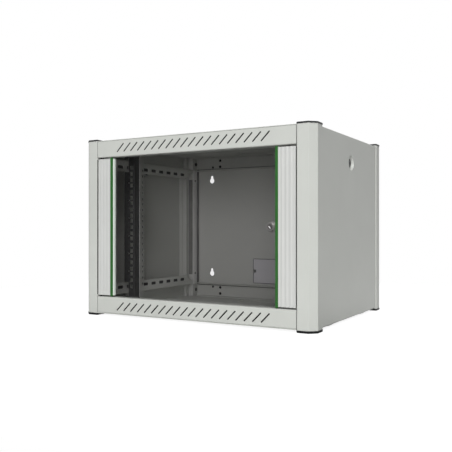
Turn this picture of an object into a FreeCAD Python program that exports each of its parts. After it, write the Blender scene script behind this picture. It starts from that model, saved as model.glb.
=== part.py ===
import FreeCAD, Part
import math
import os

# Wall mount network cabinet, 7 rack units high, for one wall.
# Origin: middle of the underside of the feet. +Z is up, the glass door faces -Y, +X is to its right.
# All lengths are millimetres.

V = FreeCAD.Vector

# Driving sizes of the whole cabinet
width = 600.0                 # over the corner posts
depth = 450.0                 # front faces of the front posts to the wall face
post_length = 413.4
foot_thickness = 5.0
cap_thickness = 3.6
cap_overhang = 0.8

# Corner posts: a closed rolled tube with a bevelled outer corner and a notched inner corner
post_size = 40.0
post_bevel = 14.3
post_notch = 14.0
post_wall = 1.5
post_edge_radius = 2.0
cap_plug_clearance = 0.25
cap_plug_depth = 12.0
cap_plug_wall = 2.25

# Sheet work
sheet = 1.5                   # roof, floor, back, cross members and covers
bend_radius = 1.0
fit_gap = 0.4                 # beside each sheet that drops in between two others
member_end_gap = 1.0          # beside each end of a cross member
panel_sheet = 1.2             # side panels

# Cross members between the posts: vented at the front, plain at the rear
member_height = 39.0
member_lip = 20.0
front_recess = 0.7
back_recess = 0.5             # wall face to the back panel
vent_count = 20
vent_pitch = 20.0
vent_rise = 20.0
vent_width = 3.0
vent_bottom = 10.8            # from the member's inner edge to the lower end of a vent
frame_screw_rise = 20.8       # from the member's inner edge to the screw through its end flange
roof_screw_inset = 80.0       # post inner face to the screws of the roof and the floor
small_hole_radius = 2.2
rear_hole_radius = 3.4

# Rack rails
unit_height = 44.45
unit_holes = (6.35, 22.225, 38.1)
rack_hole = 9.5
rack_hole_inset = 10.55       # inner face of the lip to the middle of the square holes
rail_setback = 97.0           # post front to rail front
rail_flange_width = 38.0      # post inner face to the inner face of the lip
rail_sheet = 2.0
rail_lip = 21.0
rail_leg_end = 182.0          # post front to the rear edge of the outer leg
rail_joggle = 7.0
rail_end_gap = 10.7           # post end to the end of the rail
rail_notch_width = 20.0       # cut out of the rail's outer corner where it crosses a bracket
rail_notch_depth = 27.0
rail_notch_gap = 2.5          # beside the bracket
rail_bolt_shift = 6.0         # middle of a bracket's slot to the front bolt in it
tick_outer = 11.0             # unit marks: thin slots outboard of the square holes
tick_inner = 5.2
tick_height = 2.8
leg_slot_inset = 5.0          # row of slots near the rear edge of the leg
leg_slot_width = 4.5
leg_slot_height = 6.4

# Depth brackets that carry the rails
bracket_sheet = 2.0
bracket_height = 29.0
bracket_reach = 65.2          # post end to the edge that faces the other bracket
bracket_lip = 10.0
bracket_end_height = 13.0
bracket_taper = 25.0          # length of the slanted cut at each end
bracket_end_run = 13.0        # length of the narrow end beyond the slanted cut
slot_pitch = 35.0
slot_first = 55.0             # post front to the first slot
slot_length = 21.5
slot_height = 8.0
slot_corner_radius = 2.4
slot_from_edge = 10.8

# Door
door_side_gap = 2.2           # beside the posts
door_end_gap = 3.9            # above and below, to the cross members
door_depth = 15.5
profile_width = 45.0
profile_wall = 1.5
profile_front_radius = 3.0
profile_rear_radius = 1.0
profile_edge_radius = 0.6
flute_count = 4
flute_pitch = 9.5
flute_land = 0.8              # flat left between two flutes
flute_depth = 0.8
trim_width = 5.5
trim_depth = 2.0
trim_overrun = 2.2
glass_thickness = 4.0
gasket_wall = 1.0
glass_bite = 10.0             # how far the glass reaches into each profile
pin_setback = 6.2             # post front to the hinge axis
pin_inset = 9.0               # post inner face to the hinge axis
pin_radius = 2.5
pin_clearance = 0.05
pin_depth = 16.0              # in the door's end plug
pin_collar = 1.5
pin_play = 0.3                # between the collar and the bush
pin_tip = 0.5                 # beyond the bush, and its chamfer
plug_length = 20.0
plug_clearance = 0.1
plug_radius = 1.5
bush_wall = 1.0
bush_collar = 1.5
bush_flange = 1.0
bush_stand = 2.0              # sleeve beyond the lip

# Door lock
lock_inset = 11.5             # profile's inner edge to the lock axis
lock_flange_radius = 11.0
lock_flange = 2.5
lock_nose_radius = 9.0
lock_nose_length = 9.0
lock_barrel_radius = 8.0
lock_flange_chamfer = 0.8
lock_nose_fillet = 1.2
lock_nut_across = 19.0
lock_nut_thickness = 4.0
lock_gasket = 0.8
lock_gasket_inset = 0.5
lock_hole_clearance = 0.3
thread_clearance = 0.05
core_radius = 6.0
core_clearance = 0.05
core_recess = 0.4             # behind the face of the lock
core_chamfer = 0.4
tenon_side = 7.0
tenon_clearance = 0.05
door_cam_length = 64.0
cam_width = 15.0
cam_sheet = 2.5
cam_tip_radius = 3.0
cam_clearance = 0.3
cam_nut_across = 8.0
cam_nut_thickness = 3.2
key_slot_width = 1.4
key_slot_length = 7.4
key_slot_depth = 5.0
door_cam_turn = 45.0          # degrees that the cam and key slot lean at rest, half-way to locked

# Side panels
side_recess = 1.5             # behind the side faces of the posts
side_gap = 1.0
side_bottom_gap = 2.0
side_top_gap = 1.3
side_return = 12.0
side_edge_radius = 1.5
side_tab_width = 30.0
side_tab_spread = 110.0
side_tab_length = 6.5
tab_outer_gap = 0.4
tab_inner_gap = 1.5
floor_edge_inset = 6.0        # face of the side panel to the edge of the floor below it

# Side locks
side_lock_setback = 221.0     # post front to the lock axis
side_lock_drop = 58.9         # upper edge of the side panel to the lock axis
dish_radius = 17.5
dish_taper = 2.5
dish_depth = 6.0
side_lock_flange_radius = 10.0
side_lock_flange = 2.0
side_lock_chamfer = 0.6
side_lock_nut_across = 20.0
side_cam_length = 36.0
side_cam_gap = 1.5            # behind the roof's skirt

# Roof and floor
skirt_drop = 34.5
skirt_gap = 2.5               # between a side panel's return and the skirt
skirt_end_inset = 2.0
entry_corner_radius = 4.0
entry_width = 150.0
entry_depth = 46.0
entry_setback = 42.0          # wall face to the rear edge of the cable entry
cover_margin = 10.0

# Back panel
keyhole_spread = 414.0
keyhole_rise = 275.0
keyhole_radius = 7.5
keyhole_slot = 8.0
keyhole_slot_top = 15.0
back_cover_width = 136.0
back_cover_height = 69.0
back_cover_gap = 6.2          # above the lower rear rail
back_cover_radius = 3.0

# Fasteners
m6_radius = 2.95
m6_hole = 3.1
m6_head_radius = 5.2
m6_head = 3.0
m6_nut_across = 10.0
m6_nut = 4.0
m5_radius = 2.45
m5_hole = 2.55
m5_head_radius = 4.2
m5_head = 1.7

# Places worked out from the sizes above
half_width = width / 2
half_depth = depth / 2
post_low = foot_thickness
post_high = foot_thickness + post_length
middle = (post_low + post_high) / 2
front = -half_depth
rear = half_depth
inner_x = half_width - post_size
notch_x = half_width - (post_size - post_notch)
notch_back = post_size - post_notch
frame_screw_y = front + notch_back / 2
rear_shift = sheet + back_recess - front_recess
member_low = post_high - sheet - member_height
frame_screw_height = member_low + frame_screw_rise - middle
bracket_inner_edge = post_length / 2 - bracket_reach
bracket_outer_edge = bracket_inner_edge + bracket_height
rail_half_height = post_length / 2 - rail_end_gap
rack_units = int(2 * bracket_outer_edge // unit_height)
rail_inner = inner_x - rail_flange_width
rack_hole_x = rail_inner + rack_hole_inset
door_half_width = inner_x - door_side_gap
door_half_height = member_low - door_end_gap - middle
back_outer = rear - back_recess
back_inner = back_outer - sheet
slot_count = int((depth - 2 * slot_first) // slot_pitch) + 1


def outline(corners, radii=0.0):
    """Closed flat wire through the 2-D corners, each rounded by its own radius."""
    count = len(corners)
    if not isinstance(radii, (list, tuple)):
        radii = [radii] * count
    points = [V(a, b, 0) for a, b in corners]
    starts, ends, middles = [], [], []
    for i in range(count):
        here = points[i]
        to_last = (points[i - 1] - here).normalize()
        to_next = (points[(i + 1) % count] - here).normalize()
        half_angle = to_last.getAngle(to_next) / 2
        reach = radii[i] / math.tan(half_angle)
        starts.append(here + to_last * reach)
        ends.append(here + to_next * reach)
        inward = (to_last + to_next).normalize()
        middles.append(here + inward * (radii[i] / math.sin(half_angle) - radii[i]))
    edges = []
    for i in range(count):
        if radii[i] > 0:
            edges.append(Part.Arc(starts[i], middles[i], ends[i]).toShape())
        following = starts[(i + 1) % count]
        if ends[i].distanceToPoint(following) > 1e-6:
            edges.append(Part.LineSegment(ends[i], following).toShape())
    return Part.Wire(edges)


def extrude(corners, low, high, radii=0.0, along="z"):
    """Prism of a 2-D outline: (x, y) along z, (y, z) along x, or (x, z) along y."""
    face = Part.Face(outline(corners, radii))
    if along == "y":
        low, high = -high, -low
    body = face.extrude(V(0, 0, high - low))
    body.translate(V(0, 0, low))
    if along == "x":
        body.rotate(V(0, 0, 0), V(1, 1, 1), 120)
    if along == "y":
        body.rotate(V(0, 0, 0), V(1, 0, 0), 90)
    return body


def shift_line(points, distance, closed=False):
    """The polyline moved sideways to its left by a distance, with mitred corners."""
    count = len(points)
    normals = []
    for i in range(count if closed else count - 1):
        ax, ay = points[i]
        bx, by = points[(i + 1) % count]
        length = math.hypot(bx - ax, by - ay)
        normals.append(((ay - by) / length, (bx - ax) / length))
    moved = []
    for i, (px, py) in enumerate(points):
        last = normals[i - 1] if closed or i > 0 else normals[0]
        following = normals[i] if closed or i < count - 1 else normals[-1]
        scale = distance / (1 + last[0] * following[0] + last[1] * following[1])
        moved.append((px + (last[0] + following[0]) * scale, py + (last[1] + following[1]) * scale))
    return moved


def folded(path, thickness, low, high, along="z", radius=bend_radius):
    """Sheet folded along a 2-D path, with its thickness on the left of the path, or right if negative."""
    other = shift_line(path, thickness)
    wide = radius + abs(thickness)
    near, far = [0.0], [0.0]
    for i in range(1, len(path) - 1):
        (ax, ay), (bx, by), (cx, cy) = path[i - 1:i + 2]
        turns_left = (bx - ax) * (cy - by) - (by - ay) * (cx - bx) > 0
        path_is_outside = turns_left == (thickness > 0)
        near.append(wide if path_is_outside else radius)
        far.append(radius if path_is_outside else wide)
    near.append(0.0)
    far.append(0.0)
    return extrude(path + other[::-1], low, high, near + far[::-1], along)


def box(x0, x1, y0, y1, z0, z1):
    return Part.makeBox(x1 - x0, y1 - y0, z1 - z0, V(x0, y0, z0))


def rod(radius, start, direction, length):
    return Part.makeCylinder(radius, length, V(*start), V(*direction))


def hexagon(across, start, direction, length, hole):
    """Hexagon nut of a width across its flats, with a round hole."""
    reach = across / math.sqrt(3)
    points = [V(reach * math.cos(math.radians(60 * i)), reach * math.sin(math.radians(60 * i)), 0)
              for i in range(7)]
    body = Part.Face(Part.makePolygon(points)).extrude(V(0, 0, length))
    body = body.cut(Part.makeCylinder(hole, length))
    body.Placement = FreeCAD.Placement(V(*start), FreeCAD.Rotation(V(0, 0, 1), V(*direction)))
    return body


def screw(start, direction, grip, radius, head_radius, head):
    """Domed screw whose head stands on start and whose shank runs along the direction."""
    profile = outline([(0, head), (0, -grip), (radius, -grip), (radius, 0), (head_radius, 0),
                       (head_radius, head)], [0, 0, radius / 4, 0, 0, head * 0.8])
    body = Part.Face(profile)
    body.rotate(V(0, 0, 0), V(1, 0, 0), 90)
    body = body.revolve(V(0, 0, 0), V(0, 0, 1), 360)
    socket = Part.makeCylinder(radius * 0.6, head * 0.6, V(0, 0, head * 0.4))
    body = body.cut(socket)
    facing = V(*direction) * -1
    body.Placement = FreeCAD.Placement(V(*start), FreeCAD.Rotation(V(0, 0, 1), facing))
    return body


def mirror_x(shape):
    return shape.mirror(V(0, 0, 0), V(1, 0, 0))


def mirror_y(shape):
    return shape.mirror(V(0, 0, 0), V(0, 1, 0))


def mirror_z(shape):
    return shape.mirror(V(0, 0, middle), V(0, 0, 1))


def turn_over(shape):
    """A copy turned half a turn about the line through mid-height that runs front to back."""
    turned = shape.copy()
    turned.rotate(V(0, 0, middle), V(0, 1, 0), 180)
    return turned


def save(name, *solids):
    shape = solids[0] if len(solids) == 1 else Part.makeCompound(list(solids))
    shape.exportStep("parts/" + name + ".step")


# Corner posts
def post_corners():
    """Post section, measured from the outer corner: across the front, then back along the side."""
    inner = post_size - post_notch
    return [(post_bevel, 0), (post_size, 0), (post_size, inner), (inner, inner),
            (inner, post_size), (0, post_size), (0, post_bevel)]


def at_front_left(corners):
    return [(-half_width + u, front + v) for u, v in corners]


small_hole_drops = (68.7, 30.7, 10.2)     # from the post's end
post_hole_heights = [(post_length / 2 - drop, small_hole_radius) for drop in small_hole_drops]
post_hole_heights.append((frame_screw_height, m6_hole))
bracket_screw_height = bracket_outer_edge - bracket_end_height / 2


def make_post():
    corners = post_corners()
    outer = extrude(at_front_left(corners), post_low, post_high, post_edge_radius)
    bore_corners = shift_line(corners, post_wall, closed=True)
    bore = extrude(at_front_left(bore_corners), post_low, post_high, post_edge_radius / 4)
    cuts = [bore]
    for side in (-1, 1):
        for height, radius in post_hole_heights:
            start = (-inner_x - 2 * post_wall, frame_screw_y, middle + side * height)
            cuts.append(rod(radius, start, (1, 0, 0), 3 * post_wall))
        start = (-(inner_x + notch_x) / 2, front + notch_back - 2 * post_wall,
                 middle + side * bracket_screw_height)
        cuts.append(rod(m5_hole, start, (0, 1, 0), 3 * post_wall))
    return outer.cut(cuts)


# Plastic caps on the posts: the top ones are thin, the bottom ones are the feet
def make_cap(thickness):
    plan = [(post_bevel, 0), (post_size, 0), (post_size, post_size), (0, post_size), (0, post_bevel)]
    rim = at_front_left(shift_line(plan, -cap_overhang, closed=True))
    body = extrude(rim, 0, thickness, post_edge_radius + cap_overhang)
    top_edges = [e for e in body.Edges if abs(e.BoundBox.ZMin - thickness) < 1e-6
                 and abs(e.BoundBox.ZMax - thickness) < 1e-6]
    body = body.makeChamfer(thickness / 4, top_edges)
    inset = post_wall + cap_plug_clearance
    plug_corners = shift_line(post_corners(), inset, closed=True)
    plug = extrude(at_front_left(plug_corners), -cap_plug_depth, 0, post_edge_radius / 4)
    hollow_corners = shift_line(post_corners(), inset + cap_plug_wall, closed=True)
    plug = plug.cut(extrude(at_front_left(hollow_corners), -cap_plug_depth, 0))
    return body.fuse(plug).removeSplitter()


post = make_post()
top_cap = make_cap(cap_thickness)
top_cap.translate(V(0, 0, post_high))
foot_cap = make_cap(foot_thickness).mirror(V(0, 0, 0), V(0, 0, 1))
foot_cap.translate(V(0, 0, foot_thickness))


# Cross members: one folded form for all four places, with vents in the front pair
def make_member(vented):
    """Upper member with its web towards -Y, open towards the inside of the cabinet."""
    low, high = member_low, member_low + member_height
    end = inner_x - member_end_gap
    face = front + front_recess
    back = face + member_lip
    body = folded([(back, low), (face, low), (face, high), (back, high)], -sheet, -end, end, "x")
    flange = box(-end, -end + sheet, face + sheet, back, low + 2 * sheet, high - 2 * sheet)
    body = body.fuse([flange, mirror_x(flange)])
    cuts = []
    hole_y = frame_screw_y if vented else frame_screw_y - rear_shift
    for side in (-1, 1):
        cuts.append(rod(m6_hole, (side * end, hole_y, middle + frame_screw_height), (-side, 0, 0),
                        2 * sheet))
        cuts.append(rod(m5_hole, (side * roof_screw_x, hole_y, high - 2 * sheet), (0, 0, 1), 4 * sheet))
    if vented:
        first = -vent_pitch * (vent_count - 1) / 2 - vent_rise / 2
        for i in range(vent_count):
            cuts.append(vent_cutter(first + i * vent_pitch, low + vent_bottom, face))
    else:
        for inset, rise, radius in rear_member_holes:
            for side in (-1, 1):
                start = (side * (inner_x - inset), face - sheet, low + rise)
                cuts.append(rod(radius, start, (0, 1, 0), 3 * sheet))
    return body.cut(cuts).removeSplitter()


def vent_cutter(x, z, face):
    """Slanted slot with round ends, from its lower left end up to the right."""
    length = math.hypot(vent_pitch, vent_rise) - vent_width
    half = vent_width / 2
    slot = extrude([(-half, -half), (length + half, -half), (length + half, half), (-half, half)],
                   -sheet, 2 * sheet, half, "y")
    slot.rotate(V(0, 0, 0), V(0, 1, 0), -45)
    inset = half * math.sqrt(0.5)
    slot.translate(V(x + inset, face, z + inset))
    return slot


roof_screw_x = inner_x - roof_screw_inset
rear_member_holes = ((57.0, vent_bottom, small_hole_radius), (82.0, 11.8, rear_hole_radius),
                     (82.0, 29.8, rear_hole_radius))
front_member = make_member(vented=True)
rear_member = mirror_y(make_member(vented=False))
rear_member.translate(V(0, -rear_shift, 0))


# Hinge bushes: flanged nylon sleeves in the lips of the front members, on the left
hinge_x = -(inner_x - pin_inset)
hinge_y = front + pin_setback
bush_hole = pin_radius + pin_clearance
bush_radius = bush_hole + bush_wall


def on_hinge(radius, length):
    return rod(radius, (hinge_x, hinge_y, member_low - bush_flange), (0, 0, 1), length)


def make_hinge_bush():
    sleeve = on_hinge(bush_radius, bush_flange + bush_sleeve)
    flange = on_hinge(bush_radius + bush_collar, bush_flange)
    return sleeve.fuse(flange).cut(on_hinge(bush_hole, bush_flange + bush_sleeve)).removeSplitter()


bush_sleeve = sheet + bush_stand
bush_seat = on_hinge(bush_radius, bush_flange + bush_sleeve)
upper_bush = make_hinge_bush()


# Roof and floor: a sheet with cut-outs round the posts and a turned-down skirt at each side
skirt_outer = half_width - side_recess - side_return - skirt_gap
tab_outer = half_width - side_recess - side_return + panel_sheet
ledge_x = half_width - side_recess - floor_edge_inset
roof_low = post_high - sheet
entry_y = rear - entry_setback - entry_depth / 2


def entry_corners(margin):
    half = entry_width / 2 + margin
    deep = entry_depth / 2 + margin
    return [(-half, entry_y - deep), (half, entry_y - deep), (half, entry_y + deep),
            (-half, entry_y + deep)]


cover_screw_x = entry_width / 2 + cover_margin / 2


def make_roof(with_ledge):
    """Roof; the floor is its mirror image, reaching under the side panels to hold their tabs."""
    side_reach = ledge_x if with_ledge else skirt_outer
    between = half_depth - post_size - side_gap
    across = box(-side_reach, side_reach, -between, between, roof_low, post_high)
    along_y = box(-inner_x + fit_gap, inner_x - fit_gap, front + front_recess, back_outer,
                  roof_low, post_high)
    body = across.fuse(along_y)
    for side in (-1, 1):
        x0, x1 = sorted((side * skirt_outer, side * (skirt_outer - sheet)))
        body = body.fuse(box(x0, x1, -between + skirt_end_inset, between - skirt_end_inset,
                             roof_low - skirt_drop, roof_low))
    cuts = [extrude(entry_corners(0), roof_low - sheet, post_high + sheet, entry_corner_radius)]
    for side in (-1, 1):
        cuts.append(rod(m5_hole, (side * cover_screw_x, entry_y, roof_low - sheet), (0, 0, 1), 3 * sheet))
        for y in (frame_screw_y, -frame_screw_y):
            cuts.append(rod(m5_hole, (side * roof_screw_x, y, roof_low - sheet), (0, 0, 1), 3 * sheet))
        if with_ledge:
            x0, x1 = sorted((side * (tab_outer - panel_sheet - tab_inner_gap),
                             side * (tab_outer + tab_outer_gap)))
            for y in (-side_tab_spread, side_tab_spread):
                half = side_tab_width / 2 + side_gap
                cuts.append(box(x0, x1, y - half, y + half, roof_low - sheet, post_high + sheet))
    return body.cut(cuts).removeSplitter()


def make_entry_cover():
    """Plate screwed over the cable entry from outside."""
    plate = extrude(entry_corners(cover_margin), post_high, post_high + sheet, entry_corner_radius)
    holes = [rod(m5_hole, (side * cover_screw_x, entry_y, post_high), (0, 0, 1), sheet)
             for side in (-1, 1)]
    return plate.cut(holes)


roof = make_roof(with_ledge=False)
floor = mirror_z(make_roof(with_ledge=True))
roof_cover = make_entry_cover()


# Back panel with four keyholes, and the cover over its cable opening
back_half = inner_x - fit_gap


def keyhole_cutter(x, z):
    start_y = back_inner - sheet
    circle = rod(keyhole_radius, (x, start_y, z), (0, 1, 0), 3 * sheet)
    half = keyhole_slot / 2
    top = z + keyhole_slot_top
    neck = extrude([(x - half, z), (x + half, z), (x + half, top), (x - half, top)],
                   start_y, start_y + 3 * sheet, [0, 0, half, half], "y")
    return circle.fuse(neck)


back_cover_z = post_low + sheet + member_height + back_cover_gap + back_cover_height / 2


def back_cover_corners(margin):
    half = back_cover_width / 2 - margin
    deep = back_cover_height / 2 - margin
    z = back_cover_z
    return [(-half, z - deep), (half, z - deep), (half, z + deep), (-half, z + deep)]


back_cover_screws = [(side * (back_cover_width / 2 - cover_margin / 2), back_cover_z)
                     for side in (-1, 1)]


def make_back():
    panel = extrude([(-back_half, post_low + sheet), (back_half, post_low + sheet),
                     (back_half, post_high - sheet), (-back_half, post_high - sheet)],
                    back_inner, back_outer, 0.0, "y")
    cuts = [keyhole_cutter(side * keyhole_spread / 2, middle + up * keyhole_rise / 2)
            for side in (-1, 1) for up in (-1, 1)]
    cuts.append(extrude(back_cover_corners(cover_margin), back_inner - 1, back_outer + 1,
                        entry_corner_radius, "y"))
    for x, z in back_cover_screws:
        cuts.append(rod(m5_hole, (x, back_inner - sheet, z), (0, 1, 0), 3 * sheet))
    return panel.cut(cuts)


def make_back_cover():
    plate = extrude(back_cover_corners(0), back_inner - sheet, back_inner, back_cover_radius, "y")
    holes = [rod(m5_hole, (x, back_inner - 2 * sheet, z), (0, 1, 0), 3 * sheet)
             for x, z in back_cover_screws]
    return plate.cut(holes)


# Depth brackets: slotted webs flush with the posts' inner faces, ends folded into the post notches
slot_places = [front + slot_first + slot_pitch * i for i in range(slot_count)]
slot_height_up = middle + bracket_inner_edge + slot_from_edge


def long_slot(y, z):
    half, tall = slot_length / 2, slot_height / 2
    return extrude([(y - half, z - tall), (y + half, z - tall), (y + half, z + tall), (y - half, z + tall)],
                   -inner_x - 2 * bracket_sheet, -inner_x + bracket_sheet, slot_corner_radius, "x")


def make_bracket():
    low = middle + bracket_inner_edge
    high = low + bracket_height
    web_out = -inner_x - bracket_sheet
    end = half_depth - notch_back
    lip = folded([(-inner_x, low), (-inner_x, high), (web_out - bracket_lip, high)], bracket_sheet,
                 -end, end, "y")
    body = lip
    reach = end - bracket_taper - bracket_end_run
    step = high - bracket_end_height
    for side in (-1, 1):
        corner = [(side * (end + 1), low - 1), (side * reach, low - 1), (side * reach, low),
                  (side * (reach + bracket_taper), step), (side * (end + 1), step)]
        if side < 0:
            corner = corner[::-1]
        body = body.cut(extrude(corner, web_out - bracket_lip - 1, -inner_x + 1, 0.0, "x"))
        y0, y1 = sorted((side * end, side * (end - bracket_sheet)))
        tab = box(web_out - bracket_lip, -inner_x - bracket_sheet / 2, y0, y1, step,
                  high - bracket_sheet / 2)
        hole = rod(m5_hole, (-(inner_x + notch_x) / 2, y0 - 1, middle + bracket_screw_height),
                   (0, 1, 0), bracket_sheet + 2)
        body = body.fuse(tab).cut(hole)
    return body.cut([long_slot(y, slot_height_up) for y in slot_places]).removeSplitter()


bracket = make_bracket()


# Rack rails: front flange with square holes, a lip towards the middle, a leg on the brackets
rail_front = front + rail_setback
rail_bolt_places = (slot_places[2] + rail_bolt_shift, slot_places[3])


def through_front(x0, x1, z, height):
    """Cutter for a rectangular hole in the left rail's front flange."""
    return box(x0, x1, rail_front - 1, rail_front + rail_sheet + 1, z - height / 2, z + height / 2)


def make_rail():
    """Left rail, with a notch in its outer corner at each bracket."""
    path = [(-rail_inner, rail_front + rail_lip), (-rail_inner, rail_front),
            (-inner_x + rail_joggle, rail_front), (-inner_x, rail_front + rail_joggle),
            (-inner_x, front + rail_leg_end)]
    body = folded(path, -rail_sheet, middle - rail_half_height, middle + rail_half_height)
    cuts = []
    half = rack_hole / 2
    hole_x = -rack_hole_x
    lowest = middle - rack_units * unit_height / 2
    for unit in range(rack_units):
        for offset in unit_holes:
            z = lowest + unit * unit_height + offset
            cuts.append(through_front(hole_x - half, hole_x + half, z, rack_hole))
            y = front + rail_leg_end - leg_slot_inset
            cuts.append(box(-inner_x - 1, -inner_x + rail_sheet + 1, y - leg_slot_width / 2,
                            y + leg_slot_width / 2, z - leg_slot_height / 2, z + leg_slot_height / 2))
    for unit in range(1, rack_units):
        z = lowest + unit * unit_height
        cuts.append(through_front(hole_x - tick_outer, hole_x - tick_inner, z, tick_height))
    for side in (-1, 1):
        z0, z1 = sorted((middle + side * (bracket_inner_edge - rail_notch_gap),
                         middle + side * (bracket_outer_edge + rail_notch_gap)))
        cuts.append(box(-inner_x - 1, -inner_x + rail_notch_width, rail_front - 1,
                        rail_front + rail_notch_depth, z0, z1))
        z = middle + side * (slot_height_up - middle)
        for y in rail_bolt_places:
            cuts.append(rod(m6_hole, (-inner_x - 1, y, z), (1, 0, 0), rail_sheet + 2))
    return body.cut(cuts).removeSplitter()


rail = make_rail()
rail_bolts, rail_nuts = [], []
for up in (False, True):
    for y in rail_bolt_places:
        bolt = screw((-inner_x + rail_sheet, y, slot_height_up), (-1, 0, 0),
                     rail_sheet + bracket_sheet + m6_nut + 1, m6_radius, m6_head_radius, m6_head)
        nut = hexagon(m6_nut_across, (-inner_x - bracket_sheet, y, slot_height_up), (-1, 0, 0),
                      m6_nut, m6_hole - 0.1)
        if not up:
            bolt, nut = mirror_z(bolt), mirror_z(nut)
        rail_bolts += [bolt, mirror_x(bolt)]
        rail_nuts += [nut, mirror_x(nut)]


# Screws of the frame, the roof, the floor and the covers
def four_corners(shape):
    return [shape, mirror_x(shape), mirror_y(shape), mirror_x(mirror_y(shape))]


def eight_corners(shape):
    return four_corners(shape) + four_corners(mirror_z(shape))


bracket_screw = screw((-(inner_x + notch_x) / 2, front + notch_back + bracket_sheet,
                       middle + bracket_screw_height), (0, -1, 0),
                      bracket_sheet + post_wall + 4, m5_radius, m5_head_radius, m5_head)
frame_screw = screw((-inner_x + member_end_gap + sheet, frame_screw_y, middle + frame_screw_height),
                    (-1, 0, 0), sheet + member_end_gap + post_wall + 6, m6_radius, m6_head_radius, m6_head)
cover_top = post_high + sheet
panel_screws = []
for side in (-1, 1):
    for y in (frame_screw_y, -frame_screw_y):
        panel_screws.append(screw((side * roof_screw_x, y, post_high), (0, 0, -1), 3 * sheet,
                                  m5_radius, m5_head_radius, m5_head))
    panel_screws.append(screw((side * cover_screw_x, entry_y, cover_top), (0, 0, -1), 3 * sheet,
                              m5_radius, m5_head_radius, m5_head))
panel_screws += [mirror_z(item) for item in panel_screws]
for x, z in back_cover_screws:
    panel_screws.append(screw((x, back_inner - sheet, z), (0, 1, 0), 2 * sheet,
                              m5_radius, m5_head_radius, m5_head))


# Door profiles: hollow fluted extrusions that grip the glass in a gasket
door_low = middle - door_half_height
door_high = middle + door_half_height
groove_width = glass_thickness + 2 * gasket_wall
groove_rear = door_depth - profile_wall
groove_front = groove_rear - groove_width
profile_edge = door_half_width - profile_width
lock_x = profile_edge - lock_inset
glass_half = profile_edge + glass_bite
glass_front = front + groove_front + gasket_wall


def make_profile():
    """Hinge-side profile."""
    outer_x, inner_edge = -door_half_width, -profile_edge
    trim_x = inner_edge - trim_width
    section = [(outer_x, front), (trim_x, front), (trim_x, front + trim_depth),
               (inner_edge, front + trim_depth), (inner_edge, front + door_depth),
               (outer_x, front + door_depth)]
    radii = [profile_front_radius, 0, 0, profile_edge_radius, profile_edge_radius, profile_rear_radius]
    body = extrude(section, door_low, door_high, radii)
    wall_x = inner_edge - glass_bite - gasket_wall
    groove = box(wall_x, inner_edge + 1, front + groove_front, front + groove_rear, door_low, door_high)
    x0, x1 = outer_x + profile_wall, wall_x - profile_wall
    y0, y1 = front + profile_wall, front + groove_rear
    chamber = extrude([(x0, y0), (x1, y0), (x1, y1), (x0, y1)], door_low, door_high,
                      [profile_front_radius - profile_wall, profile_edge_radius, profile_edge_radius,
                       profile_edge_radius])
    chord = (flute_pitch - flute_land) / 2
    flute_radius = (chord ** 2 + flute_depth ** 2) / (2 * flute_depth)
    cuts = [groove, chamber]
    for i in range(flute_count):
        x = trim_x - flute_land / 2 - flute_pitch * (i + 0.5)
        cuts.append(rod(flute_radius, (x, front + flute_depth - flute_radius, door_low), (0, 0, 1),
                        door_high - door_low))
    return body.cut(cuts)


def make_gasket():
    wall_x = -(profile_edge + glass_bite + gasket_wall)
    path = [(-profile_edge, front + groove_front), (wall_x, front + groove_front),
            (wall_x, front + groove_rear), (-profile_edge, front + groove_rear)]
    return folded(path, -gasket_wall, door_low, door_high, "z", 0.0)


def make_trim():
    return extrude([(-profile_edge - trim_width, front), (-profile_edge, front),
                    (-profile_edge, front + trim_depth), (-profile_edge - trim_width, front + trim_depth)],
                   door_low - trim_overrun, door_high + trim_overrun, [0.5, 0.5, 0, 0])


profile = make_profile()
gasket = make_gasket()
trim = make_trim()


def make_plug(drilled):
    """Upper end plug of the hinge-side profile."""
    x0 = -door_half_width + profile_wall + plug_clearance
    x1 = -(profile_edge + glass_bite + gasket_wall + profile_wall) - plug_clearance
    y0, y1 = front + profile_wall + plug_clearance, front + groove_rear - plug_clearance
    body = extrude([(x0, y0), (x1, y0), (x1, y1), (x0, y1)], door_high - plug_length, door_high,
                   plug_radius)
    if drilled:
        body = body.cut(rod(pin_radius + pin_clearance, (hinge_x, hinge_y, door_high - pin_depth),
                            (0, 0, 1), plug_length))
    return body


hinge_plug = make_plug(drilled=True)
blank_plug = mirror_x(make_plug(drilled=False))


def make_pin():
    """Upper hinge pin: its collar keeps the door off the bush."""
    low = door_high - pin_depth
    high = member_low + bush_sleeve + pin_tip
    pin = rod(pin_radius, (hinge_x, hinge_y, low), (0, 0, 1), high - low)
    collar = rod(pin_radius + pin_collar, (hinge_x, hinge_y, door_high), (0, 0, 1),
                 member_low - bush_flange - pin_play - door_high)
    pin = pin.fuse(collar).removeSplitter()
    tip = [e for e in pin.Edges if abs(e.BoundBox.ZMin - high) < 1e-6]
    return pin.makeChamfer(pin_tip, tip)


hinge_pin = make_pin()


# Door lock: a nickel-plated cam lock through the glass
lock_z = middle
lock_face_y = glass_front - lock_gasket - lock_nose_length
barrel_end_y = front + notch_back - 2 * cam_clearance
cam_front_y = front + notch_back + cam_clearance


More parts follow.
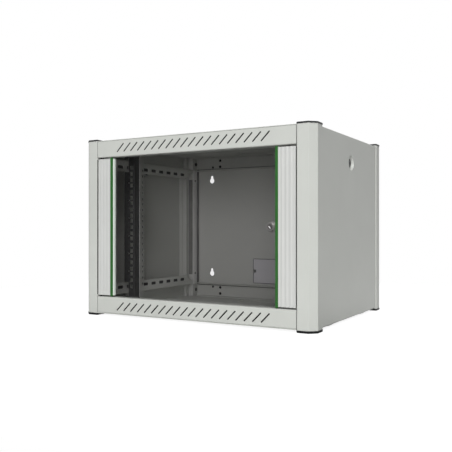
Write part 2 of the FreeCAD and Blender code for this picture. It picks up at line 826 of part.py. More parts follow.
def make_lock_body():
    base_y = glass_front - lock_gasket
    flange = rod(lock_flange_radius, (lock_x, base_y, lock_z), (0, -1, 0), lock_flange)
    rim = [e for e in flange.Edges if abs(e.BoundBox.YMax - base_y + lock_flange) < 1e-6]
    flange = flange.makeChamfer(lock_flange_chamfer, rim)
    nose = rod(lock_nose_radius, (lock_x, base_y, lock_z), (0, -1, 0), lock_nose_length)
    face_edges = [e for e in nose.Edges if abs(e.BoundBox.YMax - lock_face_y) < 1e-6]
    nose = nose.makeFillet(lock_nose_fillet, face_edges)
    barrel = rod(lock_barrel_radius, (lock_x, base_y, lock_z), (0, 1, 0), barrel_end_y - base_y)
    bore = rod(core_radius + core_clearance, (lock_x, lock_face_y - 1, lock_z), (0, 1, 0), 60)
    return flange.fuse([nose, barrel]).cut(bore).removeSplitter()


def cam_plate(length):
    """Cam in the x-z plane: pivot at the origin, arm along +x, square hole for the core."""
    half = cam_width / 2
    body = extrude([(-half, -half), (length, -half), (length, half), (-half, half)], 0, cam_sheet,
                   [half, cam_tip_radius, cam_tip_radius, half], "y")
    hole = tenon_side / 2 + tenon_clearance
    return body.cut(box(-hole, hole, -1, cam_sheet + 1, -hole, hole))


def core(radius, length, tenon, turn):
    """Lock core along +y from the origin, with a key slot in its face and a square tenon behind."""
    body = rod(radius, (0, 0, 0), (0, 1, 0), length)
    body = body.makeChamfer(core_chamfer, [e for e in body.Edges if e.BoundBox.YMax < 1e-6])
    slot = box(-key_slot_length / 2, key_slot_length / 2, -1, key_slot_depth,
               -key_slot_width / 2, key_slot_width / 2)
    half = tenon_side / 2
    square = box(-half, half, length, length + tenon, -half, half)
    stud = rod(m5_radius, (0, length + tenon, 0), (0, 1, 0), m6_nut)
    body = body.cut(slot).fuse([square, stud]).removeSplitter()
    body.rotate(V(0, 0, 0), V(0, 1, 0), turn)
    return body


glass_cut = rod(lock_barrel_radius + lock_hole_clearance, (lock_x, glass_front - 1, lock_z), (0, 1, 0),
                glass_thickness + 2)
glass = box(-glass_half, glass_half, glass_front, glass_front + glass_thickness, door_low, door_high)
glass = glass.cut(glass_cut)
lock_washer = rod(lock_flange_radius - lock_gasket_inset, (lock_x, glass_front - lock_gasket, lock_z),
                  (0, 1, 0), lock_gasket)
lock_washer = lock_washer.cut(rod(lock_barrel_radius + thread_clearance, (lock_x, glass_front - 2, lock_z),
                                  (0, 1, 0), 4))
lock_nut = hexagon(lock_nut_across, (lock_x, glass_front + glass_thickness, lock_z), (0, 1, 0),
                   lock_nut_thickness, lock_barrel_radius + thread_clearance)

door_core = core(core_radius, cam_front_y - lock_face_y - core_recess, cam_sheet, door_cam_turn)
door_core.translate(V(lock_x, lock_face_y + core_recess, lock_z))
door_cam = cam_plate(door_cam_length)
door_cam.rotate(V(0, 0, 0), V(0, 1, 0), door_cam_turn)
door_cam.translate(V(lock_x, cam_front_y, lock_z))
door_cam_nut = hexagon(cam_nut_across, (lock_x, cam_front_y + cam_sheet, lock_z), (0, 1, 0),
                       cam_nut_thickness, m5_hole)


# Side panels: trays with a pressed dish for the lock, and two tabs that stand in the floor
panel_out = half_width - side_recess
panel_low = post_low + sheet + side_bottom_gap
panel_high = post_high - sheet - side_top_gap
panel_half_y = half_depth - post_size - side_gap
side_lock_y = front + side_lock_setback
side_lock_z = panel_high - side_lock_drop
dish_floor = panel_out - dish_depth


def make_side_panel():
    """Left side panel."""
    tray = box(-panel_out, -panel_out + side_return, -panel_half_y, panel_half_y, panel_low, panel_high)
    rim = [e for e in tray.Edges if abs(e.BoundBox.XMax + panel_out) < 1e-6]
    tray = tray.makeFillet(side_edge_radius, rim)
    tray = tray.cut(box(-panel_out + panel_sheet, 0, -panel_half_y + panel_sheet, panel_half_y - panel_sheet,
                        panel_low + panel_sheet, panel_high - panel_sheet))
    for y in (-side_tab_spread, side_tab_spread):
        half = side_tab_width / 2
        tab = box(-tab_outer, -tab_outer + panel_sheet, y - half, y + half,
                  panel_low - side_tab_length, panel_low + panel_sheet)
        tray = tray.fuse(tab)
    centre = (side_lock_y, side_lock_z)
    dish = Part.makeCone(dish_radius + panel_sheet, dish_radius - dish_taper + panel_sheet,
                         dish_depth + panel_sheet, V(-panel_out, *centre), V(1, 0, 0))
    hollow = Part.makeCone(dish_radius, dish_radius - dish_taper, dish_depth, V(-panel_out, *centre),
                           V(1, 0, 0))
    bore = rod(lock_barrel_radius + 2 * thread_clearance, (-panel_out, *centre), (1, 0, 0),
               2 * side_return)
    return tray.fuse(dish).cut([hollow, bore]).removeSplitter()


side_panel = make_side_panel()
cam_outer_x = skirt_outer - sheet - side_cam_gap


def make_side_lock_body():
    start = (-dish_floor, side_lock_y, side_lock_z)
    flange = rod(side_lock_flange_radius, start, (-1, 0, 0), side_lock_flange)
    barrel = rod(lock_barrel_radius, start, (1, 0, 0), dish_floor - cam_outer_x - cam_clearance)
    bore = rod(core_radius + core_clearance, (-panel_out, *start[1:]), (1, 0, 0), panel_out)
    rim = [e for e in flange.Edges if abs(e.BoundBox.XMax + dish_floor + side_lock_flange) < 1e-6]
    flange = flange.makeChamfer(side_lock_chamfer, rim)
    return flange.fuse(barrel).cut(bore).removeSplitter()


side_lock_nut = hexagon(side_lock_nut_across, (-dish_floor + panel_sheet, side_lock_y, side_lock_z),
                        (1, 0, 0), lock_nut_thickness, lock_barrel_radius + thread_clearance)


def on_left_lock(shape, x):
    """A piece made along +y is turned to run along +x and set on the left lock axis."""
    shape.rotate(V(0, 0, 0), V(0, 0, 1), -90)
    shape.translate(V(x, side_lock_y, side_lock_z))
    return shape


core_face_x = dish_floor + side_lock_flange - core_recess
side_core = on_left_lock(core(core_radius, core_face_x - cam_outer_x, cam_sheet, 90), -core_face_x)
side_cam = on_left_lock(cam_plate(side_cam_length), -cam_outer_x)


# Write every node
os.makedirs("parts", exist_ok=True)

corner_names = ("front_left", "front_right", "rear_left", "rear_right")
for piece, ending in ((post, "post"), (top_cap, "top_cap"), (foot_cap, "foot_cap")):
    for name, shape in zip(corner_names, four_corners(piece)):
        save(name + "_" + ending, shape)

save("front_top_fascia", front_member.cut(bush_seat))
save("front_bottom_fascia", turn_over(front_member).cut(mirror_z(bush_seat)))
save("rear_top_rail", rear_member)
save("rear_bottom_rail", mirror_z(rear_member))
save("roof_panel", roof)
save("floor_panel", floor)
save("roof_cable_cover", roof_cover)
save("floor_cable_cover", mirror_z(roof_cover))
save("back_panel", make_back())
save("back_cable_cover", make_back_cover())
save("left_upper_bracket", bracket)
save("left_lower_bracket", mirror_z(bracket))
save("right_upper_bracket", mirror_x(bracket))
save("right_lower_bracket", mirror_x(mirror_z(bracket)))
save("left_rack_rail", rail)
save("right_rack_rail", mirror_x(rail))
save("rail_bolts", *rail_bolts)
save("rail_nuts", *rail_nuts)
save("bracket_screws", *eight_corners(bracket_screw))
save("frame_screws", *eight_corners(frame_screw))
save("panel_screws", *panel_screws)
save("hinge_bushes", upper_bush, mirror_z(upper_bush))

save("door_hinge_profile", profile)
save("door_lock_profile", mirror_x(profile))
save("door_glass", glass)
save("glass_gaskets", gasket, mirror_x(gasket))
save("hinge_side_trim", trim)
save("lock_side_trim", mirror_x(trim))
save("door_end_plugs", hinge_plug, mirror_z(hinge_plug), blank_plug, mirror_z(blank_plug))
save("upper_hinge_pin", hinge_pin)
save("lower_hinge_pin", mirror_z(hinge_pin))
save("door_lock_body", make_lock_body())
save("door_lock_washer", lock_washer)
save("door_lock_nut", lock_nut)
save("door_lock_core", door_core)
save("door_lock_cam", door_cam)
save("door_cam_nut", door_cam_nut)

side_pieces = ((side_panel, "side_panel"), (make_side_lock_body(), "panel_lock_body"),
               (side_lock_nut, "panel_lock_nut"), (side_core, "panel_lock_core"),
               (side_cam, "panel_lock_cam"))
for shape, ending in side_pieces:
    save("left_" + ending, shape)
    save("right_" + ending, mirror_x(shape))
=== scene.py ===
import math

import bmesh
import bpy
import numpy as np
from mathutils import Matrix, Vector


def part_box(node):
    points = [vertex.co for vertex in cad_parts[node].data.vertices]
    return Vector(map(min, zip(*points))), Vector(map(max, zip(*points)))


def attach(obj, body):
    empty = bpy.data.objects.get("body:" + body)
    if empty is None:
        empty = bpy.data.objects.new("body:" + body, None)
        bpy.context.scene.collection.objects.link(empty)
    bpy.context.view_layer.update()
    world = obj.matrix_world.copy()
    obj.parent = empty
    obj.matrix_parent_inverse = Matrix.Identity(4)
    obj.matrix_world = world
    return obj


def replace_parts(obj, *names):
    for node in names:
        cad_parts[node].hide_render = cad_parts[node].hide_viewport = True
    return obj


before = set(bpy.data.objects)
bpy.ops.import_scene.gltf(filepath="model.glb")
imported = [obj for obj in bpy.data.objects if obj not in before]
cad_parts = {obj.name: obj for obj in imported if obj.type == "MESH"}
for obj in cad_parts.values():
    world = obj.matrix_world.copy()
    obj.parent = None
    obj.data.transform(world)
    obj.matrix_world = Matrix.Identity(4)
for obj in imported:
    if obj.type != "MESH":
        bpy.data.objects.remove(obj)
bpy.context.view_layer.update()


# The view
# Eye level with the middle of the cabinet, 1.6 m in front of it and to its right, as a buyer stands who
# looks through the glass at the left rack rail.
eye = (0.7676, -1.3908, 0.2108)
eye_tilt, eye_heading = 90.124, 29.89
picture_side_px = 452
focal_length_px = 632.65
sensor_side = 36.0

camera = bpy.data.objects.new("camera", bpy.data.cameras.new("camera"))
camera.data.sensor_width = sensor_side
camera.data.lens = focal_length_px / picture_side_px * sensor_side
camera.location = eye
camera.rotation_euler = (math.radians(eye_tilt), 0, math.radians(eye_heading))
bpy.context.scene.collection.objects.link(camera)
bpy.context.scene.camera = camera


# The studio
# A white sweep without a visible edge, one large soft lamp high on the camera's side, a low one in front, one
# behind for the back, and even light from all round. None of it is part of the cabinet.
lamps = {     # level, turn from the front to the right and rise in degrees, distance and side in metres
    "key_lamp": (0.42, 27.0, 42.0, 4.6, 1.6),
    "front_lamp": (0.50, 19.0, 7.0, 5.0, 2.4),
    "rear_lamp": (0.45, 205.0, 30.0, 5.0, 2.0),
}
room_level = 0.11
dark_end_level = 0.05         # what gloss and glass mirror of the room behind the camera
half_change = 0.5             # half of the way from that dark to white, as part of a direction of length 1
sweep_side, sweep_drop = 1.9, 0.0002        # the sweep lies just clear of the feet
sweep_colour = (0.75, 0.75, 0.75, 1)
seen_sweep_colour, seen_sweep_glow = (0.30, 0.30, 0.30, 1), 0.90
white = (1, 1, 1, 1)


def add_lamp(name, level, turn, rise, distance, size):
    """Square lamp that lights a surface facing it to the given level, aimed at the cabinet's middle."""
    lamp = bpy.data.lights.new(name, "AREA")
    lamp.size = size
    lamp.energy = level * (math.pi * distance) ** 2
    holder = bpy.data.objects.new(name, lamp)
    turn, rise = math.radians(turn), math.radians(rise)
    target = np.array([0, 0, eye[2]])
    away = np.array([math.sin(turn) * math.cos(rise), -math.cos(turn) * math.cos(rise), math.sin(rise)])
    holder.location = target + away * distance
    holder.rotation_euler = (math.pi / 2 - rise, 0, turn)
    holder.visible_camera = False
    bpy.context.scene.collection.objects.link(holder)


def any_of(nodes, links, first, *others):
    """Socket that is 1 for the kinds of ray that are named, and 0 for all others."""
    path = nodes.new("ShaderNodeLightPath")
    total = path.outputs[first]
    for other in others:
        larger = nodes.new("ShaderNodeMath")
        larger.operation = "MAXIMUM"
        links.new(total, larger.inputs[0])
        links.new(path.outputs[other], larger.inputs[1])
        total = larger.outputs[0]
    return total


def mirrored_level(nodes, links, direction):
    """How bright gloss and glass mirror the studio: dark behind the camera, white at the back."""
    parts = nodes.new("ShaderNodeSeparateXYZ")
    links.new(direction, parts.inputs[0])
    level = nodes.new("ShaderNodeMapRange")
    level.inputs["From Min"].default_value = -half_change
    level.inputs["From Max"].default_value = half_change
    level.inputs["To Min"].default_value = dark_end_level
    level.inputs["To Max"].default_value = 1.0
    links.new(parts.outputs["Y"], level.inputs["Value"])
    return level.outputs["Result"]


def by_ray(nodes, links, plain, mirrored, shown):
    """One shader for light, one for what gloss mirrors, one for the camera and the view through glass."""
    unseen = nodes.new("ShaderNodeMixShader")
    links.new(nodes.new("ShaderNodeLightPath").outputs["Is Glossy Ray"], unseen.inputs[0])
    links.new(plain.outputs[0], unseen.inputs[1])
    links.new(mirrored.outputs[0], unseen.inputs[2])
    choice = nodes.new("ShaderNodeMixShader")
    links.new(any_of(nodes, links, "Is Camera Ray", "Is Transmission Ray"), choice.inputs[0])
    links.new(unseen.outputs[0], choice.inputs[1])
    links.new(shown.outputs[0], choice.inputs[2])
    return choice.outputs[0]


for name, setting in lamps.items():
    add_lamp(name, *setting)
for name in ("front_lamp", "rear_lamp"):
    bpy.data.objects[name].visible_glossy = False    # the roof would mirror them as one white glare

room = bpy.data.worlds.new("room")
room.use_nodes = True
room_nodes, room_links = room.node_tree.nodes, room.node_tree.links
lighting = room_nodes["Background"]
lighting.inputs["Strength"].default_value = room_level
lighting.inputs["Color"].default_value = white
backdrop = room_nodes.new("ShaderNodeBackground")
backdrop.inputs["Color"].default_value = white
mirrored_room = room_nodes.new("ShaderNodeBackground")
sky = room_nodes.new("ShaderNodeTexCoord").outputs["Generated"]
room_links.new(mirrored_level(room_nodes, room_links, sky), mirrored_room.inputs["Strength"])
room_surface = by_ray(room_nodes, room_links, lighting, mirrored_room, backdrop)
room_links.new(room_surface, room_nodes["World Output"].inputs["Surface"])
bpy.context.scene.world = room
bpy.context.scene.view_settings.view_transform = "Standard"

sweep_mesh = bpy.data.meshes.new("sweep")
half = sweep_side / 2
sweep_corners = [(x, y, -sweep_drop) for x, y in ((-half, -half), (half, -half), (half, half), (-half, half))]
sweep_mesh.from_pydata(sweep_corners, [], [(0, 1, 2, 3)])
sweep = bpy.data.objects.new("sweep", sweep_mesh)
bpy.context.scene.collection.objects.link(sweep)
sweep_paint = bpy.data.materials.new("sweep_paint")
sweep_paint.use_nodes = True
sweep_nodes, sweep_links = sweep_paint.node_tree.nodes, sweep_paint.node_tree.links
sweep_nodes.remove(sweep_nodes["Principled BSDF"])
lit = sweep_nodes.new("ShaderNodeBsdfDiffuse")
lit.inputs["Color"].default_value = sweep_colour
shown = sweep_nodes.new("ShaderNodeBsdfDiffuse")
shown.inputs["Color"].default_value = seen_sweep_colour
glow = sweep_nodes.new("ShaderNodeEmission")
glow.inputs["Strength"].default_value = seen_sweep_glow
shown_and_glow = sweep_nodes.new("ShaderNodeAddShader")
sweep_links.new(shown.outputs[0], shown_and_glow.inputs[0])
sweep_links.new(glow.outputs[0], shown_and_glow.inputs[1])
mirrored_sweep = sweep_nodes.new("ShaderNodeEmission")
outwards = sweep_nodes.new("ShaderNodeVectorMath")
outwards.operation = "NORMALIZE"
sweep_links.new(sweep_nodes.new("ShaderNodeTexCoord").outputs["Object"], outwards.inputs[0])
sweep_level = mirrored_level(sweep_nodes, sweep_links, outwards.outputs["Vector"])
sweep_links.new(sweep_level, mirrored_sweep.inputs["Strength"])
sweep_surface = by_ray(sweep_nodes, sweep_links, lit, mirrored_sweep, shown_and_glow)
sweep_links.new(sweep_surface, sweep_nodes["Material Output"].inputs["Surface"])
sweep_mesh.materials.append(sweep_paint)


# Folded and rolled sheet steel
# The posts, cross members, roof, floor, back, covers and depth brackets are cold-rolled steel, folded or
# rolled to shape and powder coated in a fine, slightly grained light grey.
body_grey = (0.640, 0.655, 0.618)
body_rough = 0.42
coat_grain = 1500.0           # cells of the coat's grain per metre
coat_cloud = 9.0              # and of its broad unevenness
coat_gloss_change = 0.05      # by which the grain changes the roughness up and down
cloud_detail = 3.0
noise_low, noise_high = 0.3, 0.7            # nearly all values of a noise lie between these


def noise(nodes, links, coordinates, scale, detail=2.0):
    """Noise with the given number of cells per metre."""
    texture = nodes.new("ShaderNodeTexNoise")
    texture.inputs["Scale"].default_value = scale
    texture.inputs["Detail"].default_value = detail
    links.new(coordinates, texture.inputs["Vector"])
    return texture.outputs["Fac"]


def spread(nodes, links, value, low, high):
    """The value, which lies about 0.5, spread over the range from low to high."""
    ramp = nodes.new("ShaderNodeMapRange")
    ramp.inputs["From Min"].default_value = noise_low
    ramp.inputs["From Max"].default_value = noise_high
    ramp.inputs["To Min"].default_value = low
    ramp.inputs["To Max"].default_value = high
    links.new(value, ramp.inputs["Value"])
    return ramp.outputs["Result"]


def tint(nodes, links, colour, factor):
    """The colour times a factor that varies over the surface."""
    scaled = nodes.new("ShaderNodeVectorMath")
    scaled.operation = "SCALE"
    scaled.inputs[0].default_value = colour
    links.new(factor, scaled.inputs["Scale"])
    return scaled.outputs["Vector"]


def coated(name, colour, rough, grain, cloud, unevenness=0.02, bump=0.00004):
    """Finish with a fine grain in its bump and gloss, and a faint broad cloud in its colour.

    The grain and the cloud are in cells per metre, the unevenness is the part of the colour by which the
    cloud changes it, and the bump is the height of the grain in metres.
    """
    material = bpy.data.materials.new(name)
    material.use_nodes = True
    nodes, links = material.node_tree.nodes, material.node_tree.links
    surface = nodes["Principled BSDF"]
    place = nodes.new("ShaderNodeTexCoord").outputs["Object"]
    fine = noise(nodes, links, place, grain)
    broad = noise(nodes, links, place, cloud, cloud_detail)
    colour_factor = spread(nodes, links, broad, 1 - unevenness, 1 + unevenness)
    links.new(tint(nodes, links, colour, colour_factor), surface.inputs["Base Color"])
    gloss = spread(nodes, links, fine, rough - coat_gloss_change, rough + coat_gloss_change)
    links.new(gloss, surface.inputs["Roughness"])
    relief = nodes.new("ShaderNodeBump")
    relief.inputs["Distance"].default_value = bump
    links.new(fine, relief.inputs["Height"])
    links.new(relief.outputs["Normal"], surface.inputs["Normal"])
    return material


def finish(material, *names):
    """Give CAD nodes a finish."""
    for name in names:
        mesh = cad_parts[name].data
        mesh.materials.clear()
        mesh.materials.append(material)


corners = ("front_left", "front_right", "rear_left", "rear_right")
body_coat = coated("body_coat", body_grey, body_rough, coat_grain, coat_cloud)
finish(body_coat, *[corner + "_post" for corner in corners])
finish(body_coat, "front_top_fascia", "front_bottom_fascia", "rear_top_rail", "rear_bottom_rail")
finish(body_coat, "roof_panel", "floor_panel", "roof_cable_cover", "floor_cable_cover")
finish(body_coat, "left_upper_bracket", "left_lower_bracket", "right_upper_bracket", "right_lower_bracket")
finish(body_coat, "back_panel")


# Back cover
# The cable cover in the back panel has a slightly paler, cooler coat. The dark rim round it is painted shade
# along the cover's edge, and the grey cord in the corner all round the back panel is painted shade in that
# corner.
cover_grey = (0.70, 0.70, 0.72)
shade_rim_black = (0.06, 0.06, 0.062)
shade_cord_grey = (0.19, 0.19, 0.185)
rim_half = 0.0007
rim_corner, rim_arc = 0.003, 7                      # radius of the rim's corners, and stations in each
cord_half_x, cord_half_z, cord_y = 0.2555, 0.1718, 0.2214
upright_half, level_half, deep_half = 0.0033, 0.0008, 0.0018    # half the cord's widths, and half its depth
moulded = {"grain": 2200.0, "cloud": 30.0}
foamed = {"grain": 1800.0, "cloud": 30.0}
cover_low, cover_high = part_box("back_cable_cover")
middle = sum(corner[2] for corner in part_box("back_panel")) / 2


def closed_tube(profiles):
    """Points of a tube with closed ends, from an array of its sections, (stations, points of a section, 3).

    A station more at each end repeats the middle of the end section, so that the end closes in a fan.
    """
    first = np.broadcast_to(profiles[:1].mean(axis=1, keepdims=True), profiles[:1].shape)
    last = np.broadcast_to(profiles[-1:].mean(axis=1, keepdims=True), profiles[-1:].shape)
    return np.concatenate([first, profiles, last])


def add_piece(name, grids, body, material, crease=40.0):
    """Piece from grids of points, (grids, rows, columns, 3), whose columns each close on themselves."""
    count, rows, columns = grids.shape[:3]
    corner = np.arange(count * rows * columns).reshape(count, rows, columns)
    following = np.roll(corner, -1, axis=2)
    faces = np.stack([corner[:, :-1], following[:, :-1], following[:, 1:], corner[:, 1:]], axis=-1)
    mesh = bpy.data.meshes.new(name)
    mesh.from_pydata(grids.reshape(-1, 3).tolist(), [], faces.reshape(-1, 4).tolist())
    shape = bmesh.new()
    shape.from_mesh(mesh)
    bmesh.ops.remove_doubles(shape, verts=shape.verts, dist=1e-7)
    bmesh.ops.recalc_face_normals(shape, faces=shape.faces)
    shape.to_mesh(mesh)
    shape.free()
    mesh.polygons.foreach_set("use_smooth", np.ones(len(mesh.polygons), bool))
    mesh.set_sharp_from_angle(angle=math.radians(crease))
    mesh.materials.append(material)
    piece = bpy.data.objects.new(name, mesh)
    bpy.context.scene.collection.objects.link(piece)
    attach(piece, body)
    return piece


def rim_points():
    """Circle carried round a rectangle with round corners, whose last section is its first again."""
    arc = np.linspace(0, np.pi / 2, rim_arc)
    turn = (arc + np.array([0, 1, 2, 3])[:, None] * np.pi / 2).reshape(-1)
    out = np.stack([np.cos(turn), np.zeros_like(turn), np.sin(turn)], axis=-1)
    quarter = np.repeat(np.arange(4), rim_arc)
    right, top = np.isin(quarter, (0, 3)), quarter < 2
    x = np.where(right, cover_high[0] - rim_corner, cover_low[0] + rim_corner)
    z = np.where(top, cover_high[2] - rim_corner, cover_low[2] + rim_corner)
    path = np.stack([x, np.full_like(x, cover_low[1]), z], axis=-1) + out * rim_corner
    angle = np.linspace(0, 2 * np.pi, 12, endpoint=False)[None, :, None]
    sections = path[:, None] + rim_half * (out[:, None] * np.cos(angle) + np.array([0, 1, 0]) * np.sin(angle))
    return np.concatenate([sections, sections[:1]])


def cord_points():
    """Oval carried round an upright rectangle, its corners mitred, whose last section is its first again."""
    corner_x, corner_up = np.array([1, -1, -1, 1]), np.array([1, 1, -1, -1])
    path = np.stack([corner_x * cord_half_x, np.full(4, cord_y), middle + corner_up * cord_half_z], axis=-1)
    outward = np.stack([corner_x * upright_half, np.zeros(4), corner_up * level_half], axis=-1)
    angle = np.linspace(0, 2 * np.pi, 12, endpoint=False)[None, :, None]
    sections = path[:, None] + outward[:, None] * np.cos(angle) + np.array([0, deep_half, 0]) * np.sin(angle)
    return np.concatenate([sections, sections[:1]])


cover_coat = coated("cover_coat", cover_grey, body_rough, coat_grain, coat_cloud)
finish(cover_coat, "back_cable_cover")
# painted shade: the dark rim and the grey cord stand for shade along the cover's edge and in the corner
shade_rim_rubber = coated("shade_rim_rubber", shade_rim_black, rough=0.6, unevenness=0.1, bump=0.00003, **moulded)
add_piece("back_cover_shade_rim", rim_points()[None], "cabinet", shade_rim_rubber)
painted_shade_grey = coated("painted_shade_grey", shade_cord_grey, rough=0.8, unevenness=0.1, bump=0.00005, **foamed)
add_piece("back_panel_shade_cord", cord_points()[None], "cabinet", painted_shade_grey)


# Painted shade behind the brackets' slots
# A dark grey strip in the angle of each depth bracket, behind its slots, is painted shade seen through the
# slots.
strip_half_length, strip_height, strip_thickness = 0.172, 0.012, 0.0012
strip_out = 0.2668
bracket_rise = 0.1523         # of the brackets' middle lines from the cabinet's middle
shade_strip_grey = (0.13, 0.13, 0.128)
felted = {"grain": 2600.0, "cloud": 60.0, "unevenness": 0.3, "bump": 0.0004}


def strip_points(side, up):
    """Rounded slab along y: an upright superellipse of power 4 in x and z, carried along y."""
    angle = np.linspace(0, 2 * np.pi, 16, endpoint=False)
    square = (np.abs(np.cos(angle)) ** 4 + np.abs(np.sin(angle)) ** 4) ** -0.25
    x = side * (strip_out + strip_thickness / 2 * square * np.cos(angle))
    z = middle + up * bracket_rise + strip_height / 2 * square * np.sin(angle)
    y = np.linspace(-strip_half_length, strip_half_length, 30)[:, None]
    return closed_tube(np.stack(np.broadcast_arrays(x, y, z), axis=-1))


# painted shade: the dark strips make the slots read dark
shade_felt_grey = coated("shade_felt_grey", shade_strip_grey, rough=0.95, **felted)
strips = np.stack([strip_points(side, up) for side in (-1, 1) for up in (-1, 1)])
add_piece("bracket_shade_strips", strips, "cabinet", shade_felt_grey)


# Painted highlight and shade on the rear posts
# A pale slab over the inner face of each rear post between the cross members is a painted highlight on that
# face, and a grey slab in the notch beside it, between the depth brackets, is painted shade.
highlight_x, highlight_y, highlight_rise = (0.2602, 0.2593), (0.2000, 0.2226), 0.1700     # limits, and half of its height
shade_x, shade_y, shade_rise = (0.2736, 0.2606), (0.1982, 0.1992), 0.1410
highlight_liner_grey = (0.90, 0.905, 0.885)
shade_foam_colour = (0.27, 0.275, 0.26)


def slab_points(side, x, y, rise):
    """Slab with rounded long edges: a superellipse of power 8 between limits in x and y, carried up z."""
    angle = np.linspace(0, 2 * np.pi, 24, endpoint=False)
    square = (np.abs(np.cos(angle)) ** 8 + np.abs(np.sin(angle)) ** 8) ** -0.125
    across = side * (sum(x) / 2 + (x[1] - x[0]) / 2 * square * np.cos(angle))
    deep = sum(y) / 2 + (y[1] - y[0]) / 2 * square * np.sin(angle)
    heights = np.array([middle - rise, middle + rise])[:, None]
    return closed_tube(np.stack(np.broadcast_arrays(across, deep, heights), axis=-1))


# painted highlight on the posts' inner faces, and painted shade in their notches
highlight_liner_coat = coated("highlight_liner_coat", highlight_liner_grey, body_rough, coat_grain, coat_cloud)
shade_foam_grey = coated("shade_foam_grey", shade_foam_colour, rough=0.9, unevenness=0.1, bump=0.0001, **foamed)
for name, side in (("left", -1), ("right", 1)):
    liner = slab_points(side, highlight_x, highlight_y, highlight_rise)
    add_piece(name + "_rear_post_highlight", liner[None], "cabinet", highlight_liner_coat)
    foam = slab_points(side, shade_x, shade_y, shade_rise)
    add_piece(name + "_rear_post_shade", foam[None], "cabinet", shade_foam_grey)


# Caps and feet
# Black moulded nylon caps are pushed into the open ends of the posts. The lower ones are thicker and serve
# as feet.
cap_black = (0.033, 0.034, 0.035)
foot_black = (0.014, 0.0145, 0.015)
cap_plastic = coated("cap_plastic", cap_black, rough=0.5, unevenness=0.08, bump=0.00005, **moulded)
foot_plastic = coated("foot_plastic", foot_black, rough=0.55, unevenness=0.08, bump=0.00005, **moulded)
finish(cap_plastic, *[corner + "_top_cap" for corner in corners])
finish(foot_plastic, *[corner + "_foot_cap" for corner in corners])


# Rack rails
# Two millimetre steel, punched and folded, bolted to the depth brackets. The satin dark grey coat lets the
# unit marks stand out.
rail_grey = (0.062, 0.064, 0.062)
rail_coat = coated("rail_coat", rail_grey, 0.45, coat_grain, coat_cloud, unevenness=0.05)
finish(rail_coat, "left_rack_rail", "right_rack_rail")


# Painted shade in the vents
# A black mat behind the vents of each front member, and black fillings in the vents, are painted shade
# inside the vents. The mat bulges a little between its edges, and the fillings reach from its face to the
# vents' front.
shade_mat_black = (0.006, 0.006, 0.006)
mat_half_width, mat_height = 0.215, 0.029
mat_front, mat_thickness, mat_bulge = -0.22265, 0.0024, 0.0012
mat_waves = 150.0             # angle of the bulge's waves per metre
vent_count, vent_pitch = 20, 0.020
vent_half_length, vent_half_width = 0.0141, 0.00147
member_rise = 0.187           # of the vents and the cross members' middles from the cabinet's middle
filling_front, filling_corners = -0.2241, 14
slant = math.sqrt(0.5)        # sine and cosine of the vents' 45 degrees


def mat_points(low):
    """Mat along x: its section is a flat slab whose faces move by a sine of x and a sine of z."""
    along = np.linspace(-mat_half_width, mat_half_width, 44)[:, None]
    across = np.linspace(0, 1, 9)
    height = np.concatenate([low + mat_height * across, low + mat_height * across[::-1]])
    back = np.repeat([0.0, mat_thickness], 9)
    bulge = mat_bulge * np.sin(np.pi * np.concatenate([across, across[::-1]]))
    ripple = 0.5 + 0.5 * np.sin(along * mat_waves)
    y = mat_front + back + bulge * ripple
    return closed_tube(np.stack(np.broadcast_arrays(along, y, height[None]), axis=-1))


def vent_fillings(height):
    """Slots with round ends that slant up to the right, carried along y from the front to the mat.

    A slot's outline is a circle cut in half across, whose halves are moved apart along it.
    """
    angle = (np.arange(filling_corners) + 0.5) * 2 * np.pi / filling_corners
    along = np.sign(np.cos(angle)) * (vent_half_length - vent_half_width) + vent_half_width * np.cos(angle)
    across = vent_half_width * np.sin(angle)
    centres = vent_pitch * (np.arange(vent_count) - (vent_count - 1) / 2)[:, None, None]
    x = centres + slant * (along - across)
    z = height + slant * (along + across)
    y = np.array([filling_front, filling_front, mat_front, mat_front])[:, None]
    drawn_in = np.array([0.0, 1.0, 1.0, 0.0])[:, None]
    points = (centres + (x - centres) * drawn_in, y, height + (z - height) * drawn_in)
    return np.stack(np.broadcast_arrays(*points), axis=-1)


# painted shade: black mats and fillings inside the vents
shade_felt_black = coated("shade_felt_black", shade_mat_black, rough=0.95, **felted)
for place, member, up in (("upper", "front_top_fascia", 1), ("lower", "front_bottom_fascia", -1)):
    low_corner, high_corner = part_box(member)
    mat_low = (low_corner[2] + high_corner[2] - mat_height) / 2
    add_piece(place + "_vent_shade_mat", mat_points(mat_low)[None], "cabinet", shade_felt_black)
    fillings = vent_fillings(middle + up * member_rise)
    add_piece(place + "_vent_shade_fillings", fillings, "cabinet", shade_felt_black)


# Side plates of the rails, and painted highlights on their lips
# A thin plate in the cabinet's colour lies on the inside of each rail's leg, slotted like it for cable ties,
# and a pale rounded bead over the cut edge of the lip is a painted highlight along that edge.
plate_front, plate_step, plate_rear, plate_thickness = -0.1195, -0.1000, -0.0432, 0.0008
plate_margin, edge_highlight_margin = 0.002, 0.001           # from the ends of the rail
tie_slot_front, tie_slot_rear, tie_slot_half = -0.05025, -0.04575, 0.0032
notch_low, notch_high = 0.1390, 0.1730     # from the middle: where the rail is cut away for a bracket
unit_height, unit_holes, rack_units = 0.04445, (0.00635, 0.022225, 0.0381), 7
edge_highlight_half_x, edge_highlight_half_y = 0.0014, 0.0014
rail_gauge, lip_end = 0.002, -0.1075
rail_low, rail_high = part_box("left_rack_rail")
leg_face, lip_middle = rail_low[0] + rail_gauge, rail_high[0] - rail_gauge / 2


